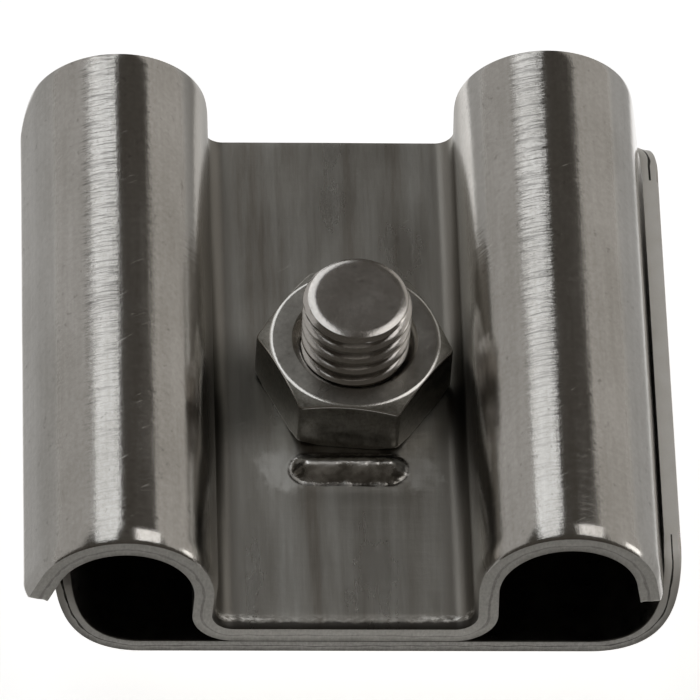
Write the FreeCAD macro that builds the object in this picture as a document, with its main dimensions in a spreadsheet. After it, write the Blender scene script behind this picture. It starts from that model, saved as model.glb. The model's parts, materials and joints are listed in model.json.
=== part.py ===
import FreeCAD, Part
import math
import os
import Sketcher

# Wire rope clip: two pressed stainless plates squeezed together by one screw and nut.
# Frame: Z is the screw axis, Z = 0 is the underside of the screw head, which the clip
# stands on. Y runs along the two rope grooves. Lengths are in millimetres.

Vector = FreeCAD.Vector
doc = FreeCAD.newDocument("wire_rope_clip")

# ---------------------------------------------------------------- driving dimensions
DIMENSIONS = [
    # plates
    ("plate_length", 27.5, "both plates, along the ropes"),
    ("cover_sheet", 1.1, "sheet thickness of the grooved cover"),
    ("tray_sheet", 0.8, "sheet thickness of the tray"),
    # tray
    ("tray_width", 28.0, "outside of one wall to outside of the other"),
    ("tray_shift", 0.28, "tray centre from the screw axis"),
    ("tray_bend", 4.0, "outer radius of the bend between floor and wall"),
    ("tray_height", 3.8, "underside of the floor to the top of the walls"),
    ("tray_corner", 3.7, "side-view radius of the wall corners"),
    ("tray_hole", 5.6, "clearance hole for the screw"),
    # cover: heights are above the tray floor
    ("groove_radius", 3.05, "inside radius of both rope grooves"),
    ("left_groove_x", -10.5, "centre of the left groove from the screw axis"),
    ("right_groove_x", 9.05, "centre of the right groove from the screw axis"),
    ("left_groove_height", 3.35, "centre of the left groove above the tray floor"),
    ("right_groove_height", 3.75, "centre of the right groove above the tray floor"),
    ("valley_bend", 1.9, "outer radius of the bend between valley and groove"),
    ("web_lean", 2.0, "degrees that the webs lean under the grooves"),
    ("left_leg_lean", 20.0, "degrees that the left leg splays outwards"),
    ("right_leg_lean", 10.0, "degrees that the right leg splays outwards"),
    ("leg_clearance", 2.75, "inner edge of the leg tips above the tray floor"),
    ("cover_hole", 6.4, "clearance hole for the screw"),
    ("cover_hole_x", -0.7, "centre of the cover's hole from the screw axis"),
    # rib that stops the nut from turning
    ("rib_length", 5.4, "overall length"),
    ("rib_width", 1.8, "overall width"),
    ("rib_height", 0.6, "above the valley"),
    ("rib_round", 0.35, "rounding of the rib's top edge"),
    ("dimple_inset", 0.2, "side of the dimple under the rib inside the rib's side"),
    ("rib_x", -0.3, "centre of the rib"),
    ("rib_y", -5.05, "centre of the rib"),
    # thread
    ("thread_pitch", 0.8, "axial distance between turns"),
    ("thread_crest", 2.45, "outer radius of the screw thread"),
    ("thread_root", 2.0, "inner radius of the screw thread"),
    ("thread_play", 0.05, "running clearance between the two threads"),
    ("groove_mouth", 0.7, "width of the screw's thread groove at its crest"),
    # screw
    ("screw_length", 8.0, "underside of the head to the end"),
    ("head_flats", 7.85, "across the flats of the head"),
    ("head_height", 3.5, "height of the head"),
    ("head_face", 7.6, "diameter of the head's round end face"),
    ("screw_chamfer", 0.3, "chamfer at the end of the screw"),
    # nut
    ("nut_flats", 7.75, "across the flats of the nut"),
    ("nut_height", 3.0, "height of the nut"),
    ("nut_turn", -5.0, "degrees that the nut stands off square"),
    ("nut_face", 7.55, "diameter of the nut's round top face"),
    ("nut_seat", 8.1, "diameter of the nut's round seat face"),
    ("nut_mouth", 5.7, "diameter of the countersunk mouth of the bore"),
    ("corner_chamfer", 30.0, "degrees of the chamfer on the hexagon corners"),
]
# derived heights and sizes, kept in the sheet as formulas
FORMULAS = [
    ("floor_level", "=head_height + tray_sheet", "tray floor above the head's underside"),
    ("seat_level", "=head_height + tray_sheet + cover_sheet", "nut seat above the head's underside"),
    ("thread_start", "=head_height + 1.5 * thread_pitch", "first turn of the screw's groove"),
    ("tray_left", "=tray_shift - tray_width / 2", "outside of the left wall"),
    ("tray_right", "=tray_shift + tray_width / 2", "outside of the right wall"),
]

sheet = doc.addObject("Spreadsheet::Sheet", "dimensions")
row = 1
for alias, value, note in DIMENSIONS + FORMULAS:
    sheet.set(f"A{row}", alias)
    sheet.set(f"B{row}", str(value))
    sheet.set(f"C{row}", note)
    sheet.setAlias(f"B{row}", alias)
    row += 1
doc.recompute()


def size(alias):
    """The value of one named cell."""
    return float(getattr(sheet, alias))


def bind(item, **links):
    """Bind properties of a document object to formulas in the sheet's names."""
    for name, formula in links.items():
        item.setExpression(name, formula)


def cell(alias):
    return f"dimensions.{alias}"


# ---------------------------------------------------------------- sketch helpers
def datum(sketch, formula, *constraint):
    """Add one dimension to a sketch and bind it to the sheet."""
    index = sketch.addConstraint(Sketcher.Constraint(*constraint))
    if formula:
        sketch.setExpression(f"Constraints[{index}]", formula)
    return index


def polar(centre, radius, degrees):
    angle = math.radians(degrees)
    return Vector(centre.x + radius * math.cos(angle), centre.y + radius * math.sin(angle), 0)


def arc(centre, radius, start, end):
    """Counter-clockwise arc between two angles in degrees."""
    circle = Part.Circle(centre, Vector(0, 0, 1), radius)
    return Part.ArcOfCircle(circle, math.radians(start), math.radians(end))


def line(start, end):
    return Part.LineSegment(start, end)


def join_tangent(sketch, ends):
    """Make each pair of ends in a list meet tangentially."""
    for (first, first_end), (second, second_end) in zip(ends[::2], ends[1::2]):
        sketch.addConstraint(Sketcher.Constraint("Tangent", first, first_end, second, second_end))


# Sketcher's numbers for the points of an element, and for the sketch's own axes
START, END, CENTRE = 1, 2, 3
AXIS_X, AXIS_Y = -1, -2
ORIGIN = AXIS_X


def xz_sketch(name):
    """A free sketch on the XZ plane: sketch x is X and sketch y is Z."""
    sketch = doc.addObject("Sketcher::SketchObject", name)
    sketch.Placement = FreeCAD.Placement(Vector(0, 0, 0), FreeCAD.Rotation(Vector(1, 0, 0), 90))
    return sketch


# ---------------------------------------------------------------- values of formulas
def evaluate(formula):
    """Value of a formula in the sheet's names, for a sketch's starting shape."""
    scratch = doc.addObject("App::FeaturePython", "scratch")
    scratch.addProperty("App::PropertyFloat", "Value")
    scratch.setExpression("Value", formula)
    scratch.recompute()
    value = float(scratch.Value)
    doc.removeObject(scratch.Name)
    return value


def fix_coordinate(sketch, corner, kind, axis, value, formula):
    """Fix one coordinate of a corner by its formula, or lay it on the axis if there is none."""
    if formula is None:
        sketch.addConstraint(Sketcher.Constraint("PointOnObject", corner, START, axis))
    else:
        datum(sketch, formula, kind, ORIGIN, START, corner, START, value)


def fixed_outline(sketch, corners):
    """Closed outline through corners, each given as (x, y, x formula, y formula)."""
    points = [Vector(x, y, 0) for x, y, _, _ in corners]
    count = len(points)
    sketch.addGeometry([line(points[i], points[(i + 1) % count]) for i in range(count)], False)
    for i in range(count):
        meet = Sketcher.Constraint("Coincident", i, END, (i + 1) % count, START)
        sketch.addConstraint(meet)
    for i, (x, y, x_formula, y_formula) in enumerate(corners):
        fix_coordinate(sketch, i, "DistanceX", AXIS_Y, x, x_formula)
        fix_coordinate(sketch, i, "DistanceY", AXIS_X, y, y_formula)


def outline(sketch, rows):
    """Closed outline through corners given as two formulas; "0" lies on an axis."""
    corners = []
    for x, y in rows:
        x_formula = None if x == "0" else x
        y_formula = None if y == "0" else y
        corners.append((evaluate(x), evaluate(y), x_formula, y_formula))
    fixed_outline(sketch, corners)


def groove_width(radius):
    """Width of the screw's thread groove at a radius, as a formula."""
    return f"(dimensions.groove_mouth - 2 * (dimensions.thread_crest - ({radius})) * tan(30))"


# ---------------------------------------------------------------- cover profile
def cover_profile():
    """Underside line of the cover, from the left leg's tip to the right leg's tip.

    Leg, groove, web and valley meet tangentially, as a pressed sheet does.
    """
    radius = size("groove_radius")
    bend = size("valley_bend")
    lean = size("web_lean")
    tip = size("leg_clearance")

    def half(side, groove_x, groove_z, leg_lean):
        """The pieces of one half; side is -1 on the left and 1 on the right."""
        groove = Vector(groove_x, groove_z, 0)
        outer = 180 - leg_lean if side < 0 else leg_lean
        inner = -lean if side < 0 else 180 + lean
        leg_top = polar(groove, radius, outer)
        drop = leg_top.y - tip
        leg_tip = Vector(leg_top.x + side * drop * math.tan(math.radians(leg_lean)), tip, 0)
        web_top = polar(groove, radius, inner)
        # the bend is tangent to the web and to the floor, so its centre is bend above the floor
        towards = Vector(side * math.sin(math.radians(lean)), -math.cos(math.radians(lean)), 0)
        away = Vector(-side * math.cos(math.radians(lean)), -math.sin(math.radians(lean)), 0)
        run = (web_top.y + bend * away.y - bend) / -towards.y
        web_end = web_top + towards * run
        bend_centre = web_end + away * bend
        return leg_tip, leg_top, groove, outer, inner, web_top, web_end, bend_centre

    left = half(-1, size("left_groove_x"), size("left_groove_height"), size("left_leg_lean"))
    right = half(1, size("right_groove_x"), size("right_groove_height"), size("right_leg_lean"))
    sketch = xz_sketch("cover_line")
    l_tip, l_top, l_groove, l_outer, l_inner, l_web_top, l_web_end, l_bend = left
    r_tip, r_top, r_groove, r_outer, r_inner, r_web_top, r_web_end, r_bend = right
    pieces = [
        line(l_tip, l_top),
        arc(l_groove, radius, l_inner, l_outer),
        line(l_web_top, l_web_end),
        arc(l_bend, bend, 180 - lean, 270),
        line(Vector(l_bend.x, 0, 0), Vector(r_bend.x, 0, 0)),
        arc(r_bend, bend, 270, 360 + lean),
        line(r_web_end, r_web_top),
        arc(r_groove, radius, r_outer, r_inner),
        line(r_top, r_tip),
    ]
    sketch.addGeometry(pieces, False)
    join_tangent(sketch, [(0, END), (1, END), (1, START), (2, START), (2, END), (3, START),
                          (3, END), (4, START), (4, END), (5, START), (5, END), (6, START),
                          (6, END), (7, END), (7, START), (8, START)])
    sketch.addConstraint(Sketcher.Constraint("Horizontal", 4))
    sketch.addConstraint(Sketcher.Constraint("PointOnObject", 4, START, AXIS_X))
    datum(sketch, cell("groove_radius"), "Radius", 1, radius)
    datum(sketch, cell("groove_radius"), "Radius", 7, radius)
    datum(sketch, cell("valley_bend"), "Radius", 3, bend)
    datum(sketch, cell("valley_bend"), "Radius", 5, bend)
    datum(sketch, cell("left_groove_x"), "DistanceX", ORIGIN, START, 1, CENTRE, l_groove.x)
    datum(sketch, cell("left_groove_height"), "DistanceY", ORIGIN, START, 1, CENTRE, l_groove.y)
    datum(sketch, cell("right_groove_x"), "DistanceX", ORIGIN, START, 7, CENTRE, r_groove.x)
    datum(sketch, cell("right_groove_height"), "DistanceY", ORIGIN, START, 7, CENTRE, r_groove.y)
    datum(sketch, cell("leg_clearance"), "DistanceY", ORIGIN, START, 0, START, tip)
    datum(sketch, cell("leg_clearance"), "DistanceY", ORIGIN, START, 8, END, tip)
    slopes = [
        (0, 90 - size("left_leg_lean"), "90 - dimensions.left_leg_lean"),
        (2, -90 - lean, "-90 - dimensions.web_lean"),
        (6, 90 + lean, "90 + dimensions.web_lean"),
        (8, size("right_leg_lean") - 90, "dimensions.right_leg_lean - 90"),
    ]
    for element, degrees, formula in slopes:
        datum(sketch, f"({formula}) * 1 deg", "Angle", element, math.radians(degrees))
    return sketch


# ---------------------------------------------------------------- tray profile
def tray_profile():
    """Underside line of the tray, wall top to wall top."""
    left = size("tray_left")
    right = size("tray_right")
    bend = size("tray_bend")
    height = size("tray_height")
    rise = math.degrees(math.asin((bend - height) / bend))
    sketch = xz_sketch("tray_line")
    sketch.addGeometry([
        arc(Vector(left + bend, bend, 0), bend, 180 + rise, 270),
        line(Vector(left + bend, 0, 0), Vector(right - bend, 0, 0)),
        arc(Vector(right - bend, bend, 0), bend, 270, 360 - rise),
    ], False)
    join_tangent(sketch, [(0, END), (1, START), (1, END), (2, START)])
    sketch.addConstraint(Sketcher.Constraint("PointOnObject", 1, START, AXIS_X))
    sketch.addConstraint(Sketcher.Constraint("Horizontal", 1))
    left_bend = "dimensions.tray_left + dimensions.tray_bend"
    right_bend = "dimensions.tray_right - dimensions.tray_bend"
    datum(sketch, cell("tray_bend"), "Radius", 0, bend)
    datum(sketch, cell("tray_bend"), "Radius", 2, bend)
    datum(sketch, left_bend, "DistanceX", ORIGIN, START, 0, CENTRE, left + bend)
    datum(sketch, right_bend, "DistanceX", ORIGIN, START, 2, CENTRE, right - bend)
    datum(sketch, cell("tray_height"), "DistanceY", ORIGIN, START, 0, START, height)
    datum(sketch, cell("tray_height"), "DistanceY", ORIGIN, START, 2, END, height)
    return sketch


def pressed_sheet(name, profile, thickness, level):
    """Thicken a profile line upwards into sheet and extrude it over the plate length."""
    section = doc.addObject("Part::Offset2D", f"{name}_section")
    section.Source = profile
    section.Mode = "Skin"
    section.Join = "Intersection"
    section.Fill = True
    bind(section, Value=thickness)
    plate = doc.addObject("Part::Extrusion", f"{name}_plate")
    plate.Base = section
    plate.DirMode = "Custom"
    plate.Dir = Vector(0, 1, 0)
    plate.Symmetric = True
    plate.Solid = True
    bind(plate, LengthFwd=cell("plate_length"))
    plate.setExpression("Placement.Base.z", level)
    return plate


def block(kind, name, **links):
    """A Part primitive whose sizes follow the sheet."""
    item = doc.addObject(kind, name)
    bind(item, **links)
    return item


def cut(name, base, tool):
    result = doc.addObject("Part::Cut", name)
    result.Base = base
    result.Tool = tool
    return result


def fuse(name, *pieces):
    result = doc.addObject("Part::MultiFuse", name)
    result.Shapes = list(pieces)
    return result


def common(name, first, second):
    result = doc.addObject("Part::MultiCommon", name)
    result.Shapes = [first, second]
    return result


# ---------------------------------------------------------------- PartDesign helpers
# how far a cutting outline reaches past the material, in millimetres
OVERCUT = 0.1


def new_body(name):
    return doc.addObject("PartDesign::Body", name)


def body_sketch(body, name, plane):
    """A sketch attached to one of the body's own origin planes."""
    sketch = body.newObject("Sketcher::SketchObject", name)
    support = next(part for part in body.Origin.OriginFeatures if part.Role == plane)
    sketch.AttachmentSupport = [(support, "")]
    sketch.MapMode = "FlatFace"
    return sketch


def hexagon(body, name, flats):
    """Hexagon sketch with two corners on the X axis, sized across its flats."""
    reach = f"dimensions.{flats} / sqrt(3)"
    sketch = body_sketch(body, name, "XY_Plane")
    rows = []
    for degrees in range(0, 360, 60):
        y = "0" if degrees % 180 == 0 else f"{reach} * sin({degrees})"
        rows.append((f"{reach} * cos({degrees})", y))
    outline(sketch, rows)
    return sketch


def pad(body, name, sketch, length):
    feature = body.newObject("PartDesign::Pad", name)
    feature.Profile = sketch
    bind(feature, Length=length)
    return feature


def turned(body, kind, name, sketch):
    """Revolution or Groove of a sketch about the body's Z axis."""
    feature = body.newObject(f"PartDesign::{kind}", name)
    feature.Profile = sketch
    feature.ReferenceAxis = (sketch, ["V_Axis"])
    feature.Angle = 360
    return feature


def bevel_corners(body, name, flats, rim_diameter, face, inward):
    """Turn a shallow cone onto the hexagon's corners at one end face.

    inward is "1" when the material lies above the face and "-1" when it lies below.
    """
    rim = f"dimensions.{rim_diameter} / 2"
    reach = f"(dimensions.{flats} / sqrt(3) + {OVERCUT})"
    drop = f"({reach} - {rim}) * tan(dimensions.corner_chamfer)"
    sketch = body_sketch(body, f"{name}_outline", "XZ_Plane")
    outline(sketch, [
        (rim, face),
        (reach, face),
        (reach, f"{face} + {inward} * {drop}"),
    ])
    return turned(body, "Groove", name, sketch)


def thread_groove(body, name, inner, inner_width, outer, outer_width, middle, height):
    """Right-hand helical groove with a tapered section; every size is a formula."""
    sketch = body_sketch(body, f"{name}_section", "XZ_Plane")
    outline(sketch, [
        (inner, f"{middle} - {inner_width} / 2"),
        (outer, f"{middle} - {outer_width} / 2"),
        (outer, f"{middle} + {outer_width} / 2"),
        (inner, f"{middle} + {inner_width} / 2"),
    ])
    feature = body.newObject("PartDesign::SubtractiveHelix", name)
    feature.Profile = sketch
    feature.ReferenceAxis = (sketch, ["V_Axis"])
    feature.Mode = "pitch-height-angle"
    bind(feature, Pitch=cell("thread_pitch"), Height=height)
    return feature


# ---------------------------------------------------------------- screw and nut
def make_screw():
    """Hexagon screw: head down, shank up along Z, threaded to the end."""
    body = new_body("hex_screw")
    pad(body, "screw_head", hexagon(body, "head_outline", "head_flats"), cell("head_height"))
    bevel_corners(body, "head_bevel", "head_flats", "head_face", "0", "1")
    crest = "dimensions.thread_crest"
    end = "dimensions.head_height + dimensions.screw_length"
    shank_outline = body_sketch(body, "shank_outline", "XZ_Plane")
    outline(shank_outline, [
        ("0", "dimensions.head_height / 2"),
        (crest, "dimensions.head_height / 2"),
        (crest, f"{end} - dimensions.screw_chamfer"),
        (f"{crest} - dimensions.screw_chamfer", end),
        ("0", end),
    ])
    turned(body, "Revolution", "shank", shank_outline)
    doc.recompute()
    inner = "dimensions.thread_root"
    outer = f"(dimensions.thread_crest + {OVERCUT})"
    thread_groove(body, "screw_thread", inner, groove_width(inner), outer, groove_width(outer),
                  cell("thread_start"), cell("screw_length"))
    return body


def make_nut():
    """Hexagon nut, seat at the bottom, with the matching internal thread."""
    body = new_body("hex_nut")
    pad(body, "nut_block", hexagon(body, "nut_outline", "nut_flats"), cell("nut_height"))
    bevel_corners(body, "top_bevel", "nut_flats", "nut_face", "dimensions.nut_height", "-1")
    bevel_corners(body, "seat_bevel", "nut_flats", "nut_seat", "0", "1")
    bore = "(dimensions.thread_root + dimensions.thread_play)"
    mouth = "(dimensions.nut_mouth / 2)"
    bore_outline = body_sketch(body, "bore_outline", "XZ_Plane")
    outline(bore_outline, [
        ("0", "0"),
        (mouth, "0"),
        (bore, f"{mouth} - {bore}"),
        (bore, f"dimensions.nut_height - {mouth} + {bore}"),
        (mouth, "dimensions.nut_height"),
        ("0", "dimensions.nut_height"),
    ])
    turned(body, "Groove", "bore", bore_outline)
    doc.recompute()
    # The nut's groove takes the screw's ridge with play on both flanks. The ridge lies half
    # a pitch from the screw's groove, and turning the nut moves its groove along the axis.
    inner = f"({bore} - {OVERCUT})"
    outer = "(dimensions.thread_crest + dimensions.thread_play)"
    play = "2 * dimensions.thread_play"
    thread_groove(body, "nut_thread",
                  inner, f"(dimensions.thread_pitch - {groove_width(inner)} + {play})",
                  outer, f"(dimensions.thread_pitch - {groove_width(outer)} + {play})",
                  "dimensions.thread_start - dimensions.thread_pitch / 2 - dimensions.seat_level"
                  " + dimensions.thread_pitch * dimensions.nut_turn / 360",
                  "dimensions.nut_height + 2 * dimensions.thread_pitch")
    body.Placement.Rotation = FreeCAD.Rotation(Vector(0, 0, 1), size("nut_turn"))
    body.setExpression("Placement.Rotation.Angle", "dimensions.nut_turn * 1 deg")
    body.setExpression("Placement.Base.z", cell("seat_level"))
    return body


# ---------------------------------------------------------------- pressed plates
def side_profile(name):
    """Side view of the tray: a rectangle whose upper corners are rounded."""
    half = size("plate_length") / 2
    height = size("tray_height")
    corner = size("tray_corner")
    sketch = doc.addObject("Sketcher::SketchObject", name)
    sketch.Placement = FreeCAD.Placement(Vector(0, 0, 0), FreeCAD.Rotation(Vector(1, 1, 1), 120))
    sketch.addGeometry([
        line(Vector(-half, 0, 0), Vector(half, 0, 0)),
        line(Vector(half, 0, 0), Vector(half, height - corner, 0)),
        arc(Vector(half - corner, height - corner, 0), corner, 0, 90),
        line(Vector(half - corner, height, 0), Vector(corner - half, height, 0)),
        arc(Vector(corner - half, height - corner, 0), corner, 90, 180),
        line(Vector(-half, height - corner, 0), Vector(-half, 0, 0)),
    ], False)
    join_tangent(sketch, [(1, END), (2, START), (2, END), (3, START),
                          (3, END), (4, START), (4, END), (5, START)])
    sketch.addConstraint(Sketcher.Constraint("Coincident", 0, END, 1, START))
    sketch.addConstraint(Sketcher.Constraint("Coincident", 5, END, 0, START))
    sketch.addConstraint(Sketcher.Constraint("Horizontal", 0))
    sketch.addConstraint(Sketcher.Constraint("Vertical", 1))
    sketch.addConstraint(Sketcher.Constraint("Vertical", 5))
    sketch.addConstraint(Sketcher.Constraint("PointOnObject", 0, START, AXIS_X))
    datum(sketch, "dimensions.plate_length / 2", "DistanceX", ORIGIN, START, 0, END, half)
    datum(sketch, "-dimensions.plate_length / 2", "DistanceX", ORIGIN, START, 0, START, -half)
    datum(sketch, cell("tray_height"), "DistanceY", ORIGIN, START, 3, START, height)
    datum(sketch, cell("tray_corner"), "Radius", 2, corner)
    datum(sketch, cell("tray_corner"), "Radius", 4, corner)
    return sketch


def hole_tool(name, diameter, level, centre_x):
    """Cylinder through a plate, wider than the sheet is thick."""
    tool = block("Part::Cylinder", name, Radius=f"{diameter} / 2", Height=f"4 * {cell('cover_sheet')}")
    tool.setExpression("Placement.Base.x", centre_x)
    tool.setExpression("Placement.Base.z", f"{level} - 2 * {cell('cover_sheet')}")
    return tool


def make_tray():
    """Shallow tray that the ropes lie in: flat floor, both long edges curled up."""
    plate = pressed_sheet("tray", tray_profile(), cell("tray_sheet"), cell("head_height"))
    envelope = doc.addObject("Part::Extrusion", "tray_side")
    envelope.Base = side_profile("tray_side_line")
    envelope.DirMode = "Custom"
    envelope.Dir = Vector(1, 0, 0)
    envelope.Symmetric = True
    envelope.Solid = True
    bind(envelope, LengthFwd="2 * dimensions.tray_width")
    envelope.setExpression("Placement.Base.z", cell("head_height"))
    rounded = common("tray_rounded", plate, envelope)
    hole = hole_tool("tray_hole_tool", cell("tray_hole"), cell("head_height"), cell("tray_shift"))
    return cut("base_tray", rounded, hole)


def rib_form(name, inset, height):
    """Oblong boss of the rib, or of the dimple under it when inset is positive."""
    body = new_body(name)
    sketch = body_sketch(body, f"{name}_outline", "XY_Plane")
    inset_value = evaluate(inset)
    end_radius = size("rib_width") / 2 - inset_value
    reach = (size("rib_length") - size("rib_width")) / 2
    sketch.addGeometry([
        arc(Vector(reach, 0, 0), end_radius, -90, 90),
        line(Vector(reach, end_radius, 0), Vector(-reach, end_radius, 0)),
        arc(Vector(-reach, 0, 0), end_radius, 90, 270),
        line(Vector(-reach, -end_radius, 0), Vector(reach, -end_radius, 0)),
    ], False)
    join_tangent(sketch, [(0, END), (1, START), (1, END), (2, START),
                          (2, END), (3, START), (3, END), (0, START)])
    reach_formula = "(dimensions.rib_length - dimensions.rib_width) / 2"
    datum(sketch, f"dimensions.rib_width / 2 - {inset}", "Radius", 0, end_radius)
    datum(sketch, reach_formula, "DistanceX", ORIGIN, START, 0, CENTRE, reach)
    datum(sketch, f"-{reach_formula}", "DistanceX", ORIGIN, START, 2, CENTRE, -reach)
    sketch.addConstraint(Sketcher.Constraint("PointOnObject", 0, CENTRE, AXIS_X))
    sketch.addConstraint(Sketcher.Constraint("PointOnObject", 2, CENTRE, AXIS_X))
    boss = pad(body, f"{name}_boss", sketch, height)
    doc.recompute()
    top = max(range(len(boss.Shape.Faces)), key=lambda i: boss.Shape.Faces[i].CenterOfMass.z)
    rounding = body.newObject("PartDesign::Fillet", f"{name}_rounding")
    rounding.Base = (boss, [f"Face{top + 1}"])
    bind(rounding, Radius=f"dimensions.rib_round - {inset}")
    for axis in "xy":
        body.setExpression(f"Placement.Base.{axis}", cell(f"rib_{axis}"))
    body.setExpression("Placement.Base.z", cell("floor_level"))
    return body


def make_cover():
    """Grooved cover: two half-round rope grooves with a flat valley between them."""
    plate = pressed_sheet("cover", cover_profile(), cell("cover_sheet"), cell("floor_level"))
    rib = rib_form("rib", "0", "dimensions.cover_sheet + dimensions.rib_height")
    dimple = rib_form("dimple", cell("dimple_inset"), cell("rib_height"))
    hole = hole_tool("cover_hole_tool", cell("cover_hole"), cell("floor_level"), cell("cover_hole_x"))
    ribbed = fuse("cover_with_rib", plate, rib)
    dimpled = cut("cover_with_dimple", ribbed, dimple)
    return cut("grooved_cover", dimpled, hole)


# ---------------------------------------------------------------- assembly and export
pieces = [make_tray(), make_cover(), make_screw(), make_nut()]
doc.recompute()

CUTTING = ("PartDesign::Groove", "PartDesign::SubtractiveHelix", "Part::Cut")
for item in doc.Objects:
    if "Invalid" in item.State or "Error" in item.State:
        raise RuntimeError(f"{item.Name} failed: {item.State}")
    if item.TypeId in CUTTING:
        before = item.Base if item.TypeId == "Part::Cut" else item.BaseFeature
        if item.Shape.Volume >= before.Shape.Volume:
            raise RuntimeError(f"{item.Name} cuts nothing")

os.makedirs("parts", exist_ok=True)
for piece in pieces:
    piece.Label = piece.Name
    shape = piece.Shape
    if shape.isNull() or not shape.isValid() or len(shape.Solids) != 1:
        raise RuntimeError(f"{piece.Label} is not one valid solid")
    shape.exportStep(f"parts/{piece.Label}.step")
    print(f"{piece.Label}: {shape.Volume:.1f} mm3")
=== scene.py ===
import json
import math

import bmesh
import bpy
from mathutils import Matrix, Vector, noise


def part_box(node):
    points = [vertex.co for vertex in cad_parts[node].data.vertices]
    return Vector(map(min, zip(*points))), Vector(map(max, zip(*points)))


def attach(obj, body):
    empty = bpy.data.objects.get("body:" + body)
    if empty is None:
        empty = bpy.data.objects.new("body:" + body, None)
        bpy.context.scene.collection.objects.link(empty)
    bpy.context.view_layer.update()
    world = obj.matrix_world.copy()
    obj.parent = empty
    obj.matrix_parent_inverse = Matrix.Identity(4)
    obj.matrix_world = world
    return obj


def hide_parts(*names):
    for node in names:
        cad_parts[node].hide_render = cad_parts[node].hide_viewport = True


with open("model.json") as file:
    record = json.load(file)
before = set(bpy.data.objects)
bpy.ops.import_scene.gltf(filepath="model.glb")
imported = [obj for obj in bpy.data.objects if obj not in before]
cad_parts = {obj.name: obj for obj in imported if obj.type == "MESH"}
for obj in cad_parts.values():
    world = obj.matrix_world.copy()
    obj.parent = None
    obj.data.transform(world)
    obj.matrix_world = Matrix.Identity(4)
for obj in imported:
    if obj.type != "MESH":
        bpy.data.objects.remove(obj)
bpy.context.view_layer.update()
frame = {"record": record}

# ---------------------------------------------------------------- sizes, in metres
MM = 0.001
mounts = {mount["name"]: mount for mount in frame["record"]["mounts"]}
cover_low, cover_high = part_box("grooved_cover")
tray_low, tray_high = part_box("base_tray")
nut_low, nut_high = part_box("hex_nut")
_, screw_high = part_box("hex_screw")


def groove_centre(name):
    """X and Z of a rope groove's axis."""
    x, _, z = mounts[name]["pos_m"]
    return Vector((x, z))


LEFT_GROOVE = groove_centre("rope_groove_left")
RIGHT_GROOVE = groove_centre("rope_groove_right")
GROOVE_RADIUS = mounts["rope_groove_right"]["dims"]["r_mm"] * MM
TRAY_FLOOR = cover_low.z
COVER_SHEET = cover_high.z - RIGHT_GROOVE.y - GROOVE_RADIUS
TRAY_SHEET = TRAY_FLOOR - tray_low.z
HALF_LENGTH = cover_high.y

# the cover's bends, as in the CAD
VALLEY_BEND = 1.9 * MM
WEB_LEAN = 2.0
LEFT_LEG_LEAN = 20.0
RIGHT_LEG_LEAN = 10.0
LEG_CLEARANCE = 2.75 * MM
COVER_HOLE = 3.2 * MM
COVER_HOLE_X = -0.7 * MM
RIB_CENTRE = Vector((-0.3 * MM, -5.05 * MM))
RIB_REACH = 1.8 * MM
RIB_RADIUS = 0.9 * MM
RIB_HEIGHT = 0.58 * MM
RIB_SLOPE = 0.88 * MM
# how much narrower the rib's hollow is on the under side
RIB_INSET = 0.2 * MM
# the edge that the blanking die rolled over, on the cover's outer side
ROLL_WIDTH = 0.85 * MM
ROLL_DEPTH = 0.45 * MM
# share of the rolled quarter-ellipse that is left where the tear cuts it off
ROLL_KEPT = 0.82
ROLL_CHANGE = 0.12
INNER_ROLL_WIDTH = 0.05 * MM
INNER_ROLL_DEPTH = 0.03 * MM
FAR_ROLL_WIDTH = 0.5 * MM
FAR_ROLL_DEPTH = 0.1 * MM
LEG_ROLL_WIDTH = 0.25 * MM
LEG_ROLL_DEPTH = 0.05 * MM
FAR_LEG_CORNER = 1.7 * MM
NEAR_LEG_CORNER = 0.35 * MM

# the tray
TRAY_BEND = 4.0 * MM
TRAY_CORNER = 3.7 * MM
TRAY_HOLE = 2.8 * MM
TRAY_ROLL_WIDTH = 0.3 * MM
TRAY_ROLL_DEPTH = 0.12 * MM
TRAY_INNER_ROLL_WIDTH = 0.09 * MM
TRAY_INNER_ROLL_DEPTH = 0.07 * MM

# thread, screw and nut
PITCH = 0.8 * MM
THREAD_CREST = 2.45 * MM
THREAD_ROOT = 2.0 * MM
THREAD_START = 4.7 * MM
GROOVE_MOUTH = 0.30 * MM
GROOVE_FLOOR = 0.09 * MM
CREST_ROUNDING = 0.10
# heights of the rows over the first half of a turn of thread
THREAD_STEPS = tuple(step * MM for step in (0.0, 0.09, 0.13, 0.2, 0.27, 0.32, 0.36, 0.4))
THREAD_PLAY = 0.05 * MM
HEAD_FLATS = 7.85 * MM
HEAD_FACE = 3.8 * MM
HEAD_HEIGHT = tray_low.z
DISH_RADIUS = 2.6 * MM
DISH_DEPTH = 0.2 * MM
# the screw's end: the thread's rim, a chamfer, and a flat disc inside it
END_RIM = 2.29 * MM
END_RIM_DROP = 0.16 * MM
CHAMFER_RADIUS = 2.24 * MM
CHAMFER_DROP = 0.09 * MM
DISC_RADIUS = 1.84 * MM
DISC_DROP = 0.01 * MM
NUT_FLATS = 7.75 * MM
NUT_FACE = 3.775 * MM
NUT_SEAT = 4.05 * MM
NUT_MOUTH = 2.85 * MM
NUT_TURN = -5.0
CORNER_CHAMFER = math.tan(math.radians(30))
CORNER_WEAR = 0.05 * MM
CORNER_STEPS = 6
HAIR = 0.02 * MM
HEAD_SOFTNESS = 0.05 * MM
NUT_SOFTNESS = 0.09 * MM
SCREW_SHARP_ANGLE = 24
NUT_SHARP_ANGLE = 20


# ---------------------------------------------------------------- mesh helpers
WELD_GAP = 2e-7
SHEET_SHARP_ANGLE = 32.0


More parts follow.
